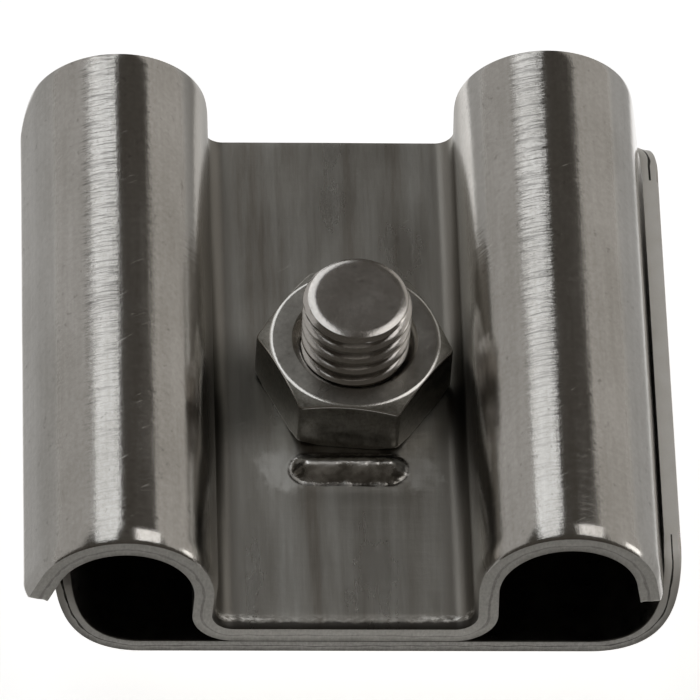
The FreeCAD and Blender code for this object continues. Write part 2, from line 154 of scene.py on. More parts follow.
def mesh_object(name, vertices, faces, kinds, finishes, sharp_angle=SHEET_SHARP_ANGLE):
    """Object from vertices and faces; kinds gives each face's number in finishes."""
    mesh = bpy.data.meshes.new(name)
    mesh.from_pydata(vertices, [], faces)
    for finish in finishes:
        mesh.materials.append(finish)
    mesh.polygons.foreach_set("material_index", kinds)
    seams = bmesh.new()
    seams.from_mesh(mesh)
    bmesh.ops.remove_doubles(seams, verts=seams.verts, dist=WELD_GAP)
    bmesh.ops.dissolve_degenerate(seams, edges=seams.edges, dist=WELD_GAP)
    bmesh.ops.recalc_face_normals(seams, faces=seams.faces)
    seams.to_mesh(mesh)
    seams.free()
    mesh.polygons.foreach_set("use_smooth", [True] * len(mesh.polygons))
    mesh.set_sharp_from_angle(angle=math.radians(sharp_angle))
    item = bpy.data.objects.new(name, mesh)
    bpy.context.scene.collection.objects.link(item)
    return item


def spaced(start, end, count, crowd=0):
    """Values from start to end; crowd packs them towards the start (-1) or the end (1)."""
    shares = [step / count for step in range(count + 1)]
    if crowd < 0:
        shares = [1 - math.cos(share * math.pi / 2) for share in shares]
    if crowd > 0:
        shares = [math.sin(share * math.pi / 2) for share in shares]
    return [start + (end - start) * share for share in shares]


def direction(degrees):
    angle = math.radians(degrees)
    return Vector((math.cos(angle), math.sin(angle)))


# ---------------------------------------------------------------- pressed sheet
class SheetLine:
    """Underside of a bent sheet in the XZ plane: points, outward normals and lengths."""

    def __init__(self):
        self.points = []
        self.normals = []
        self.along = []

    def add(self, point, normal):
        if self.points:
            step = (point - self.points[-1]).length
            if step < 1e-9:
                return
            self.along.append(self.along[-1] + step)
        else:
            self.along.append(0.0)
        self.points.append(point)
        self.normals.append(normal)

    def arc(self, centre, radius, start, end, count, outward):
        """Arc between two angles; outward is 1 if the outer side faces away from the centre."""
        for degrees in spaced(start, end, count):
            ray = direction(degrees)
            self.add(centre + ray * radius, ray * outward)

    def straight(self, start, end, normal, count, crowd=0):
        for share in spaced(0.0, 1.0, count, crowd):
            self.add(start.lerp(end, share), normal)


def rolled(distances, width, depth):
    """How far a rolled edge falls away, from the distances to the edges nearby."""
    nearness = [ROLL_KEPT * max(0.0, 1 - distance / width) for distance in distances]
    return depth * (1 - math.sqrt(max(0.0, 1 - min(1.0, math.hypot(*nearness)) ** 2)))


# numbers of the finishes on a pressed sheet
OUTER, CUT, TEAR, INNER, LONG_EDGE = range(5)
# the broken wall around a sheet is rings of points between its upper and under rims: each
# ring's share of the way down, how far it sinks in, and how ragged it is
WALL_RINGS = ((0.44, 0.0, 0.0), (0.54, 1.0, 0.14), (0.85, 1.4, 0.0))
# a ring at this share or more stays put, and the others move with the broken share
LOWEST_RING = 0.8
USUAL_BREAK = 0.52
LONGEST_DROP = 0.97
WALL_WAVE = 0.12
WALL_DEPTH = 0.025
WALL_DEPTH_CHANGE = 0.02
# a sheet's two ends sink in by this share of what its long sides do
END_SINK = 0.3
# how fine the noise is: along the rings, in their raggedness, and in their depth
WAVE_SCALE = 900
RAGGED_SCALE = 1700
DEPTH_SCALE = 2600


def pressed_sheet(name, line, rows, reach, under, upper, fracture, inner_side, finishes):
    """Closed mesh of a bent sheet.

    rows are shares of the half-length, from -1 to 1; reach gives the half-length on one
    side (-1 near, 1 far) at a point of the line, from its height and its distance to the
    line's nearer end; under and upper give the two sides' heights above the line. The wall
    around the sheet is smooth next to the upper side and broken next to the under side,
    where fracture is the broken share of its height. inner_side is "under" or "upper".
    finishes are listed in the order of the numbers above.
    """
    columns = len(line.points)
    length = line.along[-1]
    vertices, faces, kinds = [], [], []

    edges = [min(along, length - along) for along in line.along]

    def half_length(i, share):
        return reach(-1 if share < 0 else 1, line.points[i].y, edges[i])

    def place(i, share, rise):
        spot = line.points[i] + line.normals[i] * rise
        return spot.x, share * half_length(i, share), spot.y

    def grid(height, kind):
        first = len(vertices)
        for i in range(columns):
            for share in rows:
                y = share * half_length(i, share)
                rise = height(line.points[i].x, y, edges[i], half_length(i, share) - abs(y))
                vertices.append(place(i, share, rise))
        for i in range(columns - 1):
            for j in range(len(rows) - 1):
                a = first + i * len(rows) + j
                faces.append((a, a + 1, a + 1 + len(rows), a + len(rows)))
                kinds.append(kind)
        return first

    low = grid(under, INNER if inner_side == "under" else OUTER)
    high = grid(upper, INNER if inner_side == "upper" else OUTER)
    last = len(rows) - 1
    rim = [(i, 0) for i in range(columns)]
    rim += [(columns - 1, j) for j in range(1, last)]
    rim += [(i, last) for i in reversed(range(columns))]
    rim += [(0, j) for j in reversed(range(1, last))]
    rings = [[high + i * len(rows) + j for i, j in rim]]
    for share, sink, ragged in WALL_RINGS:
        ring = []
        for i, j in rim:
            top = Vector(vertices[high + i * len(rows) + j])
            bottom = Vector(vertices[low + i * len(rows) + j])
            drop = share
            if share < LOWEST_RING:
                wobble = noise.noise(top * WAVE_SCALE) * WALL_WAVE
                wobble += abs(noise.noise(top * RAGGED_SCALE)) * ragged
                drop = min(LONGEST_DROP, (1 - fracture) * share / USUAL_BREAK + wobble)
            spot = top.lerp(bottom, drop)
            depth = sink * (WALL_DEPTH + WALL_DEPTH_CHANGE * noise.noise(spot * DEPTH_SCALE)) * MM
            inward_y = -math.copysign(1, spot.y) if j in (0, last) else 0.0
            inward_x = -math.copysign(1, spot.x) if i in (0, columns - 1) else 0.0
            ring.append(len(vertices))
            vertices.append((spot.x + inward_x * depth * END_SINK, spot.y + inward_y * depth, spot.z))
        rings.append(ring)
    rings.append([low + i * len(rows) + j for i, j in rim])
    for number, (upper_ring, lower_ring) in enumerate(zip(rings, rings[1:])):
        for k in range(len(rim)):
            m = (k + 1) % len(rim)
            faces.append((upper_ring[k], upper_ring[m], lower_ring[m], lower_ring[k]))
            if rim[k][0] == rim[m][0]:
                kinds.append(LONG_EDGE)
            else:
                kinds.append(TEAR if number == 1 else CUT)
    return mesh_object(name, vertices, faces, kinds, finishes)


def drill(item, x, radius, low, high):
    """Cut a round hole through a sheet, along Z."""
    cutter_mesh = bpy.data.meshes.new("drill")
    tool = bmesh.new()
    place = Matrix.Translation((x, 0, (low + high) / 2))
    bmesh.ops.create_cone(tool, cap_ends=True, segments=96, radius1=radius, radius2=radius,
                          depth=high - low, matrix=place)
    tool.to_mesh(cutter_mesh)
    tool.free()
    cutter = bpy.data.objects.new("drill", cutter_mesh)
    bpy.context.scene.collection.objects.link(cutter)
    hole = item.modifiers.new("hole", "BOOLEAN")
    hole.object = cutter
    hole.operation = "DIFFERENCE"
    hole.solver = "EXACT"
    bpy.context.view_layer.update()
    done = item.evaluated_get(bpy.context.evaluated_depsgraph_get())
    item.data = bpy.data.meshes.new_from_object(done)
    item.modifiers.clear()
    bpy.data.objects.remove(cutter)
    item.data.polygons.foreach_set("use_smooth", [True] * len(item.data.polygons))
    item.data.set_sharp_from_angle(angle=math.radians(SHEET_SHARP_ANGLE))


# the cover's unevenness: how fine it is, and how deep in millimetres
BROAD_SCALE = 260
FINE_SCALE_ACROSS = 300
FINE_SCALE_ALONG = 1100
BROAD_DEPTH = 0.012
FINE_DEPTH = 0.0025


def waviness(x, y, height):
    """Slight unevenness that pressing leaves in the sheet."""
    broad = noise.noise(Vector((x, y, height)) * BROAD_SCALE)
    across, along = FINE_SCALE_ACROSS, FINE_SCALE_ALONG
    fine = noise.noise(Vector((x * across, y * along, height * across)))
    return (broad * BROAD_DEPTH + fine * FINE_DEPTH) * MM


# ---------------------------------------------------------------- cover
# how many faces lie along each stretch of the cover's line, and of its rows
LEG_STEPS = 18
GROOVE_STEPS = 84
WEB_STEPS = 6
BEND_STEPS = 18
VALLEY_STEPS = 84
EDGE_ROWS = 16
BEFORE_RIB_ROWS = 14
RIB_ROWS = 20
AFTER_RIB_ROWS = 36
# broken share of the cover's cut edge
COVER_FRACTURE = 0.42


def cover_line():
    """Underside of the cover: left leg, groove, web, valley, web, groove, right leg."""
    line = SheetLine()

    def half(side, groove, leg_lean):
        outer = 180 - leg_lean if side < 0 else leg_lean
        inner = -WEB_LEAN if side < 0 else 180 + WEB_LEAN
        leg_top = groove + direction(outer) * GROOVE_RADIUS
        tip_z = TRAY_FLOOR + LEG_CLEARANCE
        splay = side * (leg_top.y - tip_z) * math.tan(math.radians(leg_lean))
        leg_tip = Vector((leg_top.x + splay, tip_z))
        web_top = groove + direction(inner) * GROOVE_RADIUS
        down = Vector((side * math.sin(math.radians(WEB_LEAN)), -math.cos(math.radians(WEB_LEAN))))
        away = Vector((down.y, -down.x)) * side
        bend_z = TRAY_FLOOR + VALLEY_BEND
        run = (web_top.y + VALLEY_BEND * away.y - bend_z) / -down.y
        web_end = web_top + down * run
        return outer, inner, leg_top, leg_tip, web_top, web_end, web_end + away * VALLEY_BEND

    outer, inner, leg_top, leg_tip, web_top, web_end, bend = half(-1, LEFT_GROOVE, LEFT_LEG_LEAN)
    line.straight(leg_tip, leg_top, direction(outer), LEG_STEPS, -1)
    line.arc(LEFT_GROOVE, GROOVE_RADIUS, outer, inner, GROOVE_STEPS, 1)
    line.straight(web_top, web_end, direction(inner), WEB_STEPS)
    line.arc(bend, VALLEY_BEND, 180 - WEB_LEAN, 270, BEND_STEPS, -1)
    left_end = line.points[-1]
    outer, inner, leg_top, leg_tip, web_top, web_end, bend = half(1, RIGHT_GROOVE, RIGHT_LEG_LEAN)
    right_start = bend + direction(270) * VALLEY_BEND
    line.straight(left_end, right_start, Vector((0, 1)), VALLEY_STEPS)
    line.arc(bend, VALLEY_BEND, 270, 360 + WEB_LEAN, BEND_STEPS, -1)
    line.straight(web_end, web_top, direction(inner), WEB_STEPS)
    line.arc(RIGHT_GROOVE, GROOVE_RADIUS, inner, outer, GROOVE_STEPS, 1)
    line.straight(leg_top, leg_tip, direction(outer), LEG_STEPS, 1)
    return line


def rib_rise(x, y, inset):
    """Height of the rib above the valley, 0 outside it."""
    beyond = max(0.0, abs(x - RIB_CENTRE.x) - RIB_REACH)
    gap = math.hypot(beyond, y - RIB_CENTRE.y)
    share = min(1.0, max(0.0, (RIB_RADIUS - inset - gap) / RIB_SLOPE))
    return RIB_HEIGHT * share * share * (3 - 2 * share)


def make_cover(finishes):
    """Cover sheet with its rolled edges, rib, rounded leg corners and hole."""
    line = cover_line()
    bend_z = VALLEY_BEND + TRAY_FLOOR

    def over_valley(x):
        return LEFT_GROOVE.x + GROOVE_RADIUS < x < RIGHT_GROOVE.x - GROOVE_RADIUS

    def under(x, y, edge, end):
        rise = rolled([edge, end], INNER_ROLL_WIDTH, INNER_ROLL_DEPTH)
        return rise + (rib_rise(x, y, RIB_INSET) if over_valley(x) else 0.0)

    def upper(x, y, edge, end):
        uneven = 1 + ROLL_CHANGE * noise.noise(Vector((x, y, 0)) * 500)
        width, depth = (ROLL_WIDTH, ROLL_DEPTH) if y < 0 else (FAR_ROLL_WIDTH, FAR_ROLL_DEPTH)
        end_roll = rolled([end], width * uneven, depth)
        leg_roll = rolled([edge], LEG_ROLL_WIDTH, LEG_ROLL_DEPTH)
        rise = COVER_SHEET - HAIR + waviness(x, y, bend_z) - max(end_roll, leg_roll)
        return rise + (rib_rise(x, y, 0.0) if over_valley(x) else 0.0)

    rib_from = (RIB_CENTRE.y - RIB_RADIUS) / HALF_LENGTH
    rib_to = (RIB_CENTRE.y + RIB_RADIUS) / HALF_LENGTH
    edge_share = 1 - ROLL_WIDTH * 1.2 / HALF_LENGTH
    rows = spaced(-1.0, -edge_share, EDGE_ROWS, -1)
    rows += spaced(-edge_share, rib_from, BEFORE_RIB_ROWS)[1:]
    rows += spaced(rib_from, rib_to, RIB_ROWS)[1:]
    rows += spaced(rib_to, edge_share, AFTER_RIB_ROWS)[1:]
    rows += spaced(edge_share, 1.0, EDGE_ROWS, 1)[1:]

    def reach(side, _, edge):
        corner = NEAR_LEG_CORNER if side < 0 else FAR_LEG_CORNER
        short = max(0.0, corner - edge)
        return HALF_LENGTH - corner + math.sqrt(corner ** 2 - short ** 2)

    item = pressed_sheet("cover_shell", line, rows, reach, under, upper, COVER_FRACTURE, "under",
                         finishes)
    drill(item, COVER_HOLE_X, COVER_HOLE, TRAY_FLOOR - MM, TRAY_FLOOR + 2 * MM)
    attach(item, "cover")
    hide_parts("grooved_cover")
    return item


# ---------------------------------------------------------------- tray
# how many faces lie along each stretch of the tray's line, and of its rows
CURL_STEPS = 48
FLOOR_STEPS = 60
TRAY_EDGE_ROWS = 12
TRAY_ROWS = 40
# broken share of the tray's cut edge
TRAY_FRACTURE = 0.5


def make_tray(finishes):
    """Shallow tray with both long edges curled up and its corners rounded in side view."""
    low = tray_low.z
    # the widest points are on the outer bend, level with its centre or with the wall's top
    height = tray_high.z - low
    rise = math.degrees(math.asin((TRAY_BEND - height) / TRAY_BEND))
    tuck = TRAY_BEND * (1 - math.cos(math.radians(rise)))
    left = Vector((tray_low.x - tuck + TRAY_BEND, low + TRAY_BEND))
    right = Vector((tray_high.x + tuck - TRAY_BEND, low + TRAY_BEND))
    line = SheetLine()
    line.arc(left, TRAY_BEND, 180 + rise, 270, CURL_STEPS, -1)
    floor_end = right + direction(270) * TRAY_BEND
    line.straight(line.points[-1], floor_end, Vector((0, 1)), FLOOR_STEPS)
    line.arc(right, TRAY_BEND, 270, 360 - rise, CURL_STEPS, -1)

    def reach(_, z, __):
        over = min(TRAY_CORNER, max(0.0, z - low - (height - TRAY_CORNER)))
        return HALF_LENGTH - TRAY_CORNER + math.sqrt(TRAY_CORNER ** 2 - over ** 2)

    def under(_, __, edge, end):
        return rolled([edge, end], TRAY_ROLL_WIDTH, TRAY_ROLL_DEPTH)

    def upper(_, __, edge, end):
        return TRAY_SHEET - rolled([edge, end], TRAY_INNER_ROLL_WIDTH, TRAY_INNER_ROLL_DEPTH)

    edge_share = 1 - ROLL_WIDTH / HALF_LENGTH
    rows = spaced(-1.0, -edge_share, TRAY_EDGE_ROWS, -1)
    rows += spaced(-edge_share, edge_share, TRAY_ROWS)[1:]
    rows += spaced(edge_share, 1.0, TRAY_EDGE_ROWS, 1)[1:]
    item = pressed_sheet("tray_shell", line, rows, reach, under, upper, TRAY_FRACTURE, "upper",
                         finishes)
    drill(item, (tray_low.x + tray_high.x) / 2, TRAY_HOLE, low - MM, low + 2 * MM)
    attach(item, "tray")
    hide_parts("base_tray")
    return item


# ---------------------------------------------------------------- screw and nut
# angles of one side of a hexagon, crowded where the corners are rounded
SIDE_ANGLES = (0, 0.9, 2.2, 4.5, 8, 12, 16, 20, 25, 30, 35, 40, 44, 48, 52, 55.5, 57.8, 59.1)
ANGLES = [side * 60 + angle for side in range(6) for angle in SIDE_ANGLES] + [360]


def hex_radius(degrees, flats):
    """Distance from the axis to a hexagon with a corner at 0 degrees, slightly blunted."""
    from_flat = math.radians(degrees % 60 - 30)
    return min(flats / 2 / math.cos(from_flat), flats / math.sqrt(3) - CORNER_WEAR)


def thread_radius(degrees, z):
    """Radius of the screw thread, right-handed, with softly rounded crests."""
    turns = (z - THREAD_START) / PITCH - degrees / 360
    gap = abs(turns - round(turns)) * PITCH
    share = min(1.0, max(0.0, (gap - GROOVE_FLOOR) / (GROOVE_MOUTH - GROOVE_FLOOR)))
    rounded = share + CREST_ROUNDING * math.sin(math.pi * share) * share
    return THREAD_ROOT + (THREAD_CREST - THREAD_ROOT) * min(1.0, rounded)


def helix_rows(low, high, radius):
    """Rows that follow the thread between two heights; radius is a function of angle and z."""
    offsets = list(THREAD_STEPS) + [PITCH - step for step in THREAD_STEPS[-2:0:-1]]
    first = math.floor((low - THREAD_START) / PITCH) - 1
    last = math.ceil((high - THREAD_START) / PITCH) + 1
    rows = []
    for turn in range(first, last):
        for offset in offsets:
            row = []
            for degrees in ANGLES:
                z = THREAD_START + (turn + degrees / 360) * PITCH + offset
                z = min(high, max(low, z))
                row.append((radius(degrees, z), z))
            rows.append(row)
    return rows


def ring(radius, z):
    """A row at one height; radius and z may be functions of the angle."""
    row = []
    for degrees in ANGLES:
        r = radius(degrees) if callable(radius) else radius
        row.append((r, z(degrees) if callable(z) else z))
    return row


def turned_piece(name, rows, turn, close_loop, finishes, sharp_angle, bands=None):
    """Closed mesh from rows of (radius, z), one per angle; rows at radius 0 are the poles.

    bands gives the number of the finish on the faces after a row, where it isn't 0.
    """
    vertices, faces, kinds = [], [], []
    for row in rows:
        for degrees, (radius, z) in zip(ANGLES, row):
            angle = math.radians(degrees + turn)
            vertices.append((radius * math.cos(angle), radius * math.sin(angle), z))
    width = len(ANGLES)
    count = len(rows) if close_loop else len(rows) - 1
    for k in range(count):
        here = k * width
        beyond = (k + 1) % len(rows) * width
        for i in range(width - 1):
            faces.append((here + i, here + i + 1, beyond + i + 1, beyond + i))
            kinds.append(bands.get(k, 0) if bands else 0)
    return mesh_object(name, vertices, faces, kinds, finishes, sharp_angle)


def hexagon_side(flats, bottom, top, bottom_face, top_face, softness):
    """Rows up the outside of a hexagon with chamfered corners and softened edges."""
    def outline(degrees):
        reach = hex_radius(degrees, flats)
        low_face = min(bottom_face, reach - HAIR)
        high_face = min(top_face, reach - HAIR)
        corners = [
            Vector((low_face - 3 * softness, bottom)),
            Vector((low_face, bottom)),
            Vector((reach, bottom + (reach - low_face) * CORNER_CHAMFER)),
            Vector((reach, top - (reach - high_face) * CORNER_CHAMFER)),
            Vector((high_face, top)),
            Vector((high_face - 3 * softness, top)),
        ]
        points = []
        for before, corner, after in zip(corners, corners[1:], corners[2:]):
            start = corner.lerp(before, min(0.48, softness / (corner - before).length))
            end = corner.lerp(after, min(0.48, softness / (corner - after).length))
            for share in spaced(0.0, 1.0, CORNER_STEPS - 1):
                points.append(start.lerp(corner, share).lerp(corner.lerp(end, share), share))
        return points

    outlines = [outline(degrees) for degrees in ANGLES]
    return [[tuple(point) for point in row] for row in zip(*outlines)]


def make_screw(finish):
    """Hexagon screw: dished head below, thread, and a chamfered end."""
    top = screw_high.z
    rim_z = top - END_RIM_DROP

    def shank(degrees, z):
        return min(thread_radius(degrees, z), END_RIM + (rim_z - z))

    dish = [ring(0.0, 1.1 * DISH_DEPTH), ring(DISH_RADIUS - 0.5 * MM, DISH_DEPTH)]
    rows = dish + [ring(DISH_RADIUS, 0.0)]
    rows += hexagon_side(HEAD_FLATS, 0.0, HEAD_HEIGHT, HEAD_FACE, HEAD_FACE, HEAD_SOFTNESS)
    rows += [ring(THREAD_CREST + 0.2 * MM, HEAD_HEIGHT)]
    rows += helix_rows(HEAD_HEIGHT, rim_z, shank)
    for share in spaced(0.0, 1.0, 8):
        radius = CHAMFER_RADIUS + (DISC_RADIUS - CHAMFER_RADIUS) * share
        drop = DISC_DROP + (CHAMFER_DROP - DISC_DROP) * (1 - share) ** 2
        rows.append(ring(radius, top - drop))
    for share in (0.93, 0.8, 0.6, 0.3, 0.0):
        rows.append(ring(DISC_RADIUS * share, top - DISC_DROP - DISC_DROP * (1 - share)))
    item = turned_piece("screw_body", rows, 0.0, False, [finish], SCREW_SHARP_ANGLE)
    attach(item, "screw")
    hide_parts("hex_screw")
    return item


def make_nut(finishes):
    """Hexagon nut with countersunk mouths and an internal thread."""
    low, high = nut_low.z, nut_high.z
    bore = THREAD_ROOT + THREAD_PLAY

    def inside(degrees, z):
        cone = NUT_MOUTH - min(z - low, high - z)
        # the nut is turned, so its thread is looked up at the screw's own angle
        return max(bore, cone, thread_radius(degrees + NUT_TURN, z) + THREAD_PLAY)

    rows = hexagon_side(NUT_FLATS, low, high, NUT_SEAT, NUT_FACE, NUT_SOFTNESS)
    # the flat sides and the chamfer above them keep the bar's dark skin, and the two soft
    # corners beside that chamfer are worn bright
    bands = {row: 2 for row in range(2 * CORNER_STEPS, 4 * CORNER_STEPS - 1)}
    bands[2 * CORNER_STEPS - 1] = 1
    bands[3 * CORNER_STEPS - 1] = 1
    rows += [ring(NUT_MOUTH + 2 * HAIR, high)]
    rows += list(reversed(helix_rows(low, high, inside)))
    item = turned_piece("nut_body", rows, NUT_TURN, True, finishes, NUT_SHARP_ANGLE, bands)
    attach(item, "nut")
    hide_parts("hex_nut")
    return item


# ---------------------------------------------------------------- materials
class Nodes:
    """Short names for building one material's nodes."""

    def __init__(self, name):
        self.material = bpy.data.materials.new(name)
        self.material.use_nodes = True
        self.tree = self.material.node_tree
        self.shader = self.tree.nodes["Principled BSDF"]
        self.place = self.tree.nodes.new("ShaderNodeTexCoord").outputs["Object"]

    def link(self, source, target):
        self.tree.links.new(source, target)

    def noise(self, per_mm, detail=3.0, rough=0.55, warp=0.0, turn=0.0):
        """Noise with a scale along X, Y and Z in features per millimetre, turned about Z."""
        mapping = self.tree.nodes.new("ShaderNodeMapping")
        mapping.vector_type = "TEXTURE"
        mapping.inputs["Scale"].default_value = [MM / value for value in per_mm]
        mapping.inputs["Rotation"].default_value = (0, 0, math.radians(turn))
        self.link(self.place, mapping.inputs["Vector"])
        texture = self.tree.nodes.new("ShaderNodeTexNoise")
        texture.inputs["Scale"].default_value = 1.0
        texture.inputs["Detail"].default_value = detail
        texture.inputs["Roughness"].default_value = rough
        texture.inputs["Distortion"].default_value = warp
        self.link(mapping.outputs["Vector"], texture.inputs["Vector"])
        return texture.outputs["Fac"]

    def range(self, source, low, high, to_low, to_high, smooth=False):
        node = self.tree.nodes.new("ShaderNodeMapRange")
        node.interpolation_type = "SMOOTHSTEP" if smooth else "LINEAR"
        node.inputs["From Min"].default_value = low
        node.inputs["From Max"].default_value = high
        node.inputs["To Min"].default_value = to_low
        node.inputs["To Max"].default_value = to_high
        self.link(source, node.inputs["Value"])
        return node.outputs["Result"]

    def math(self, kind, first, second):
        node = self.tree.nodes.new("ShaderNodeMath")
        node.operation = kind
        for socket, value in zip(node.inputs, (first, second)):
            if isinstance(value, (int, float)):
                socket.default_value = value
            else:
                self.link(value, socket)
        return node.outputs["Value"]

    def product(self, first, *others):
        """Product of two or more values."""
        for other in others:
            first = self.math("MULTIPLY", first, other)
        return first

    def distance(self, first, second):
        """How far apart two numbers are."""
        return self.math("ABSOLUTE", self.math("SUBTRACT", first, second), 0.0)

    def mix(self, share, first, second):
        """Mix of two numbers or of two colours."""
        node = self.tree.nodes.new("ShaderNodeMix")
        is_colour = isinstance(first, tuple) or getattr(first, "type", "") == "RGBA"
        node.data_type = "RGBA" if is_colour else "FLOAT"
        kind = "RGBA" if is_colour else "VALUE"
        sockets = [socket for socket in node.inputs if socket.type == kind and socket.name in "AB"]
        for socket, value in zip(sockets, (first, second)):
            if isinstance(value, (tuple, int, float)):
                socket.default_value = value
            else:
                self.link(value, socket)
        self.link(share, node.inputs["Factor"])
        return next(out for out in node.outputs if out.type == kind)

    def bump(self, height, distance, strength=1.0, below=None):
        node = self.tree.nodes.new("ShaderNodeBump")
        node.inputs["Strength"].default_value = strength
        node.inputs["Distance"].default_value = distance
        self.link(height, node.inputs["Height"])
        if below is not None:
            self.link(below, node.inputs["Normal"])
        return node.outputs["Normal"]

    def position(self, axis):
        node = self.tree.nodes.new("ShaderNodeSeparateXYZ")
        self.link(self.place, node.inputs["Vector"])
        return node.outputs[axis]

    def away(self, point):
        """Distance from a point, in metres."""
        node = self.tree.nodes.new("ShaderNodeVectorMath")
        node.operation = "DISTANCE"
        self.link(self.place, node.inputs[0])
        node.inputs[1].default_value = point
        return node.outputs["Value"]


PIT_BROWN = (0.22, 0.20, 0.18, 1)
FLANK_SHADE_BROWN = (0.33, 0.31, 0.28, 1)
WEB_BROWN = (0.27, 0.255, 0.23, 1)
VALLEY_DARK = (0.31, 0.285, 0.25, 1)
VALLEY_LIGHT = (0.55, 0.54, 0.505, 1)
LIP_SHADE = (0.07, 0.065, 0.06, 1)
LIP_HIGHLIGHT_WHITE = (1.0, 0.98, 0.94, 1)
NUT_SHADE = (0.12, 0.115, 0.10, 1)
MATTE_GREY = (0.62, 0.61, 0.58, 1)
RIB_DARK = (0.30, 0.28, 0.25, 1)
RIB_MOTTLE_AND_HIGHLIGHT = (0.95, 0.93, 0.89, 1)
RIB_FOOT_SHADE = (0.12, 0.11, 0.10, 1)
CREASE_SHADE = (0.26, 0.25, 0.235, 1)


def steel(name, bright, dark, smooth, rough, grain, grain_depth, ripple, marks=None):
    """Bare stainless steel: soft clouds of tone, drawn grain, ripples, pits and scratches.

    grain gives the grain's fineness along X, Y and Z, in features per millimetre. marks is
    a function that adds one part's own wear and painted light to the colour, roughness and normal.
    """
    nodes = Nodes(name)
    clouds = nodes.noise((0.28, 0.16, 0.28), 3, 0.5)
    specks = nodes.noise((4.5, 4.0, 4.5), 4, 0.7)
    streaks = nodes.noise(grain, 4, 0.6)
    pits = nodes.range(nodes.noise((2.4, 2.0, 2.4), 3, 0.6), 0.64, 0.74, 0.0, 0.45)
    tone = nodes.product(nodes.range(clouds, 0.3, 0.7, 0.0, 1.0, True), 0.35)
    for layer, weight in ((specks, 0.4), (streaks, 0.25)):
        tone = nodes.math("ADD", tone, nodes.product(nodes.range(layer, 0.3, 0.7, 0.0, 1.0), weight))
    colour = nodes.mix(tone, dark, bright)
    colour = nodes.mix(pits, colour, PIT_BROWN)
    polish = nodes.range(clouds, 0.35, 0.68, rough, smooth)
    polish = nodes.math("ADD", polish, nodes.product(streaks, 0.05))
    ripples = nodes.noise((0.22, 1.7, 0.22), 3, 0.55)
    scratches = nodes.range(nodes.noise((0.8, 9.0, 2.0), 2, 0.4, 0.0, 32), 0.70, 0.80, 0.0, 1.0)
    normal = nodes.bump(ripples, ripple * MM)
    normal = nodes.bump(streaks, grain_depth * MM, 1.0, normal)
    normal = nodes.bump(specks, 0.005 * MM, 1.0, normal)
    normal = nodes.bump(scratches, -0.002 * MM, 1.0, normal)
    if marks is not None:
        colour, polish, normal = marks(nodes, colour, polish, normal)
    nodes.link(colour, nodes.shader.inputs["Base Color"])
    nodes.link(polish, nodes.shader.inputs["Roughness"])
    nodes.link(normal, nodes.shader.inputs["Normal"])
    nodes.shader.inputs["Metallic"].default_value = 1.0
    return nodes.material


class CoverPlaces:
    """Where the parts of the cover are, as values that its marks share."""

    def __init__(self, nodes):
        self.across = nodes.position("X")
        self.along = nodes.position("Y")
        self.height = nodes.position("Z")
        self.valley_z = TRAY_FLOOR + COVER_SHEET
        self.left_bend = LEFT_GROOVE.x + GROOVE_RADIUS + VALLEY_BEND
        self.right_bend = RIGHT_GROOVE.x - GROOVE_RADIUS - VALLEY_BEND
        from_left = nodes.range(self.across, LEFT_GROOVE.x, LEFT_GROOVE.x + 2.5 * MM, 0.0, 1.0, True)
        from_right = nodes.range(self.across, RIGHT_GROOVE.x, RIGHT_GROOVE.x - 2.5 * MM, 0.0, 1.0, True)
        self.between = nodes.product(from_left, from_right)
        self.valley = nodes.range(self.height, self.valley_z + 1.3 * MM, self.valley_z + 0.3 * MM,
                                  0.0, 1.0, True)


def flank_shade_marks(nodes, at, colour):
    """Inner flanks darker and browner than the crowns: painted shade low down between the grooves, and
    the left flank also darker at its far end.
    """
    # painted shade: darker and browner towards the valley between the grooves
    low = nodes.range(at.height, at.valley_z + 4.9 * MM, at.valley_z + 2.6 * MM, 0.0, 0.5, True)
    beside = nodes.range(at.across, LEFT_GROOVE.x + 2.6 * MM, LEFT_GROOVE.x + 3.5 * MM, 0.0, 1.0, True)
    on_left = nodes.range(at.across, 0.0, -1 * MM, 0.0, 1.0, True)
    far_end = nodes.product(beside, on_left, nodes.range(at.along, 0.0, 5 * MM, 0.0, 1.0, True))
    flank_shade = nodes.math("MAXIMUM", nodes.product(low, at.between), far_end)
    return nodes.mix(flank_shade, colour, FLANK_SHADE_BROWN)


def valley_marks(nodes, at, colour, polish):
    """Dull, dark webs and bends between the grooves, and a striped valley."""
    webs = nodes.range(at.height, at.valley_z + 4.9 * MM, at.valley_z + 3.2 * MM, 0.0, 1.0, True)
    left = nodes.range(at.across, at.left_bend + 0.6 * MM, at.left_bend, 0.0, 1.0, True)
    right = nodes.range(at.across, at.right_bend - 0.6 * MM, at.right_bend, 0.0, 1.0, True)
    webs = nodes.product(webs, nodes.math("ADD", left, right), at.between)
    broad_stripes = nodes.noise((0.6, 0.04, 0.4), 2, 0.5)
    fine_stripes = nodes.noise((3.5, 0.22, 2.0), 4, 0.65)
    stripes = nodes.math("ADD", nodes.product(broad_stripes, 0.7), nodes.product(fine_stripes, 0.3))
    stripes = nodes.range(stripes, 0.36, 0.64, 0.0, 1.0)
    colour = nodes.mix(at.valley, colour, nodes.mix(stripes, VALLEY_DARK, VALLEY_LIGHT))
    polish = nodes.math("ADD", polish, nodes.product(at.valley, 0.15))
    colour = nodes.mix(nodes.product(webs, 0.8), colour, WEB_BROWN)
    polish = nodes.mix(webs, polish, nodes.range(stripes, 0.0, 1.0, 0.46, 0.36))
    return colour, polish


